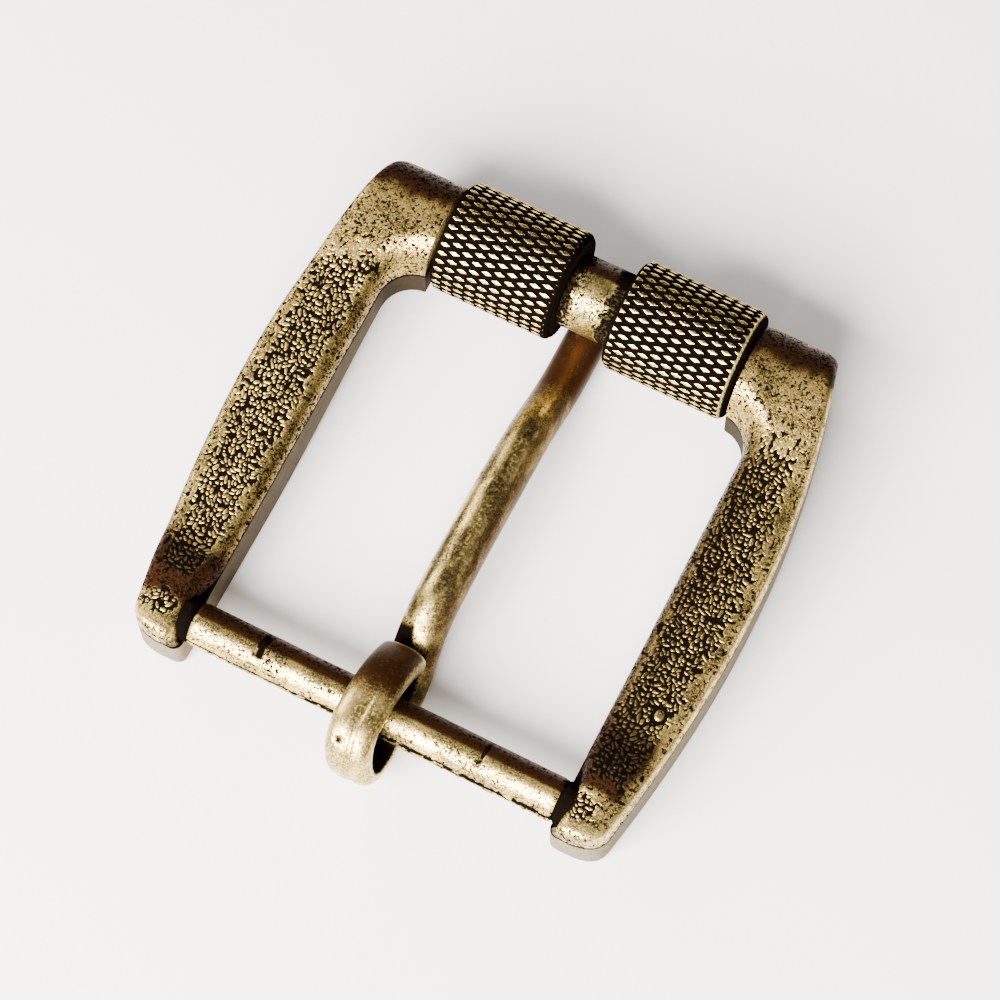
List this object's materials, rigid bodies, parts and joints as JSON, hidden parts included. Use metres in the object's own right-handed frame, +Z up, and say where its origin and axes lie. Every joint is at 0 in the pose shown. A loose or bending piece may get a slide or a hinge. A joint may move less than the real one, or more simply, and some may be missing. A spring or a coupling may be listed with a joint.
{
  "type": "roller buckle",
  "caption": "Cast roller buckle in antique brass: two pebbled side arms, two knurled rollers, a plain heel bar and a bent prong.",
  "frame": {"origin": "On the surface that the buckle lies on, under the middle of its outline.", "axes": "X runs along the two bars, Y from the heel bar to the rollers, Z up from the surface."},
  "size_m": [0.0582, 0.0626, 0.0137],
  "materials": {
    "cast_brass": "cast, pebbled, antiqued dark in the hollows",
    "bar_brass": "smooth, antiqued and speckled",
    "knurled_brass": "diamond knurled, dark in the cuts",
    "prong_brass": "smooth, brown antiqued"
  },
  "bodies": {
    "frame": {"arm_left": "cast_brass", "arm_right": "cast_brass", "heel_bar": "bar_brass", "roller_bar": "bar_brass"},
    "prong": {"prong": "prong_brass"},
    "roller_left": {"roller_left": "knurled_brass"},
    "roller_right": {"roller_right": "knurled_brass"}
  },
  "joints": [
    {"name": "prong_swing", "type": "hinge", "parent": "frame", "child": "prong", "pos_m": [0, -0.02374, 0.0051], "axis": [1, 0, 0], "range_deg": [-340, 0]},
    {"name": "roller_left_spin", "type": "hinge", "parent": "frame", "child": "roller_left", "pos_m": [-0.01, 0.02526, 0.00772], "axis": [1, 0, 0], "continuous": true},
    {"name": "roller_right_spin", "type": "hinge", "parent": "frame", "child": "roller_right", "pos_m": [0.01, 0.02526, 0.00772], "axis": [1, 0, 0], "continuous": true}
  ]
}
